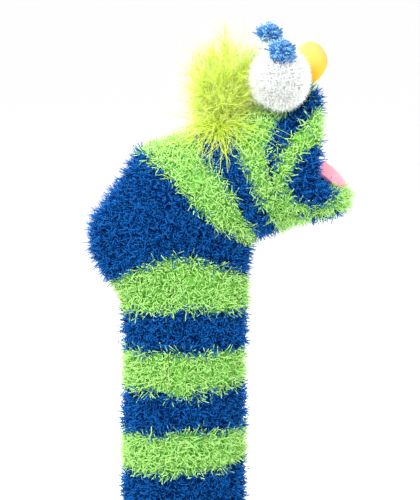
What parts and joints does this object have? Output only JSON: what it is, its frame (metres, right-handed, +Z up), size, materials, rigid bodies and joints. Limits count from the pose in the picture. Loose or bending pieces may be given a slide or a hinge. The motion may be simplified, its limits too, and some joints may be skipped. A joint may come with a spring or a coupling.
{
  "type": "moving mouth hand puppet",
  "caption": "Fuzzy striped knitted sock hand puppet with a mouth that opens and closes, pom-pom eyes, foam nose, felt tongue and a feather tuft.",
  "frame": {"origin": "centre of the hem's lower edge, where the hand goes in", "axes": "+X the way the face looks, +Y the puppet's left, +Z up along the forearm"},
  "size_m": [0.1887, 0.1091, 0.3909],
  "materials": {
    "blue_yarn": "royal blue feather yarn, knitted, long loose pile",
    "green_yarn": "lime green feather yarn, knitted, long loose pile",
    "elastic": "white round elastic",
    "card": "stiff brown card",
    "tape": "woven cotton tape",
    "pink_felt": "soft salmon pink felt",
    "white_pompom": "white fluffy pom-pom",
    "blue_tinsel": "blue tinsel pom-pom, shiny strands",
    "yellow_foam": "smooth yellow foam",
    "grey_felt": "grey felt washer",
    "hair_felt": "yellow green felt",
    "feather": "yellow green marabou down"
  },
  "bodies": {
    "sleeve": {"arm_sleeve": "blue_yarn", "cuff_band": "blue_yarn", "cuff_elastic": "elastic"},
    "wrist": {"wrist_ring": "green_yarn", "wrist_fold": "green_yarn"},
    "head": {"heel_pouch": "blue_yarn", "crown_shell": "green_yarn", "throat_fold": "blue_yarn", "upper_lip": "green_yarn", "palate_lining": "blue_yarn", "upper_mouth_board": "card", "mouth_hinge_tape": "tape", "cheek_fold_right": "blue_yarn", "cheek_fold_left": "blue_yarn", "eye_right": "white_pompom", "eye_left": "white_pompom", "pupil_right": "blue_tinsel", "pupil_left": "blue_tinsel", "nose": "yellow_foam", "eye_anchor_right": "grey_felt", "eye_anchor_left": "grey_felt", "nose_anchor": "grey_felt", "hair_anchor": "grey_felt", "hair_base": "hair_felt", "hair_binding": "feather", "hair_plume_1": "feather", "hair_plume_2": "feather", "hair_plume_3": "feather", "hair_plume_4": "feather", "hair_plume_5": "feather", "hair_plume_6": "feather", "hair_plume_7": "feather", "hair_plume_8": "feather", "hair_plume_9": "feather", "hair_plume_10": "feather"},
    "jaw": {"jaw_shell": "green_yarn", "lower_lip": "green_yarn", "jaw_lining": "blue_yarn", "lower_mouth_board": "card", "tongue": "pink_felt"}
  },
  "joints": [
    {"name": "wrist_turn", "type": "hinge", "parent": "sleeve", "child": "wrist", "pos_m": [0, 0, 0.186], "axis": [0, 0, 1], "range_deg": [-35, 35]},
    {"name": "wrist_nod", "type": "hinge", "parent": "wrist", "child": "head", "pos_m": [-0.006, 0, 0.2075], "axis": [0, 1, 0], "range_deg": [-15, 22], "deforming": ["wrist_fold"]},
    {"name": "jaw_hinge", "type": "hinge", "parent": "head", "child": "jaw", "pos_m": [0.071, 0, 0.272], "axis": [0, 1, 0], "range_deg": [-46, 4], "deforming": ["throat_fold", "mouth_hinge_tape", "cheek_fold_right", "cheek_fold_left", "tongue"]}
  ]
}
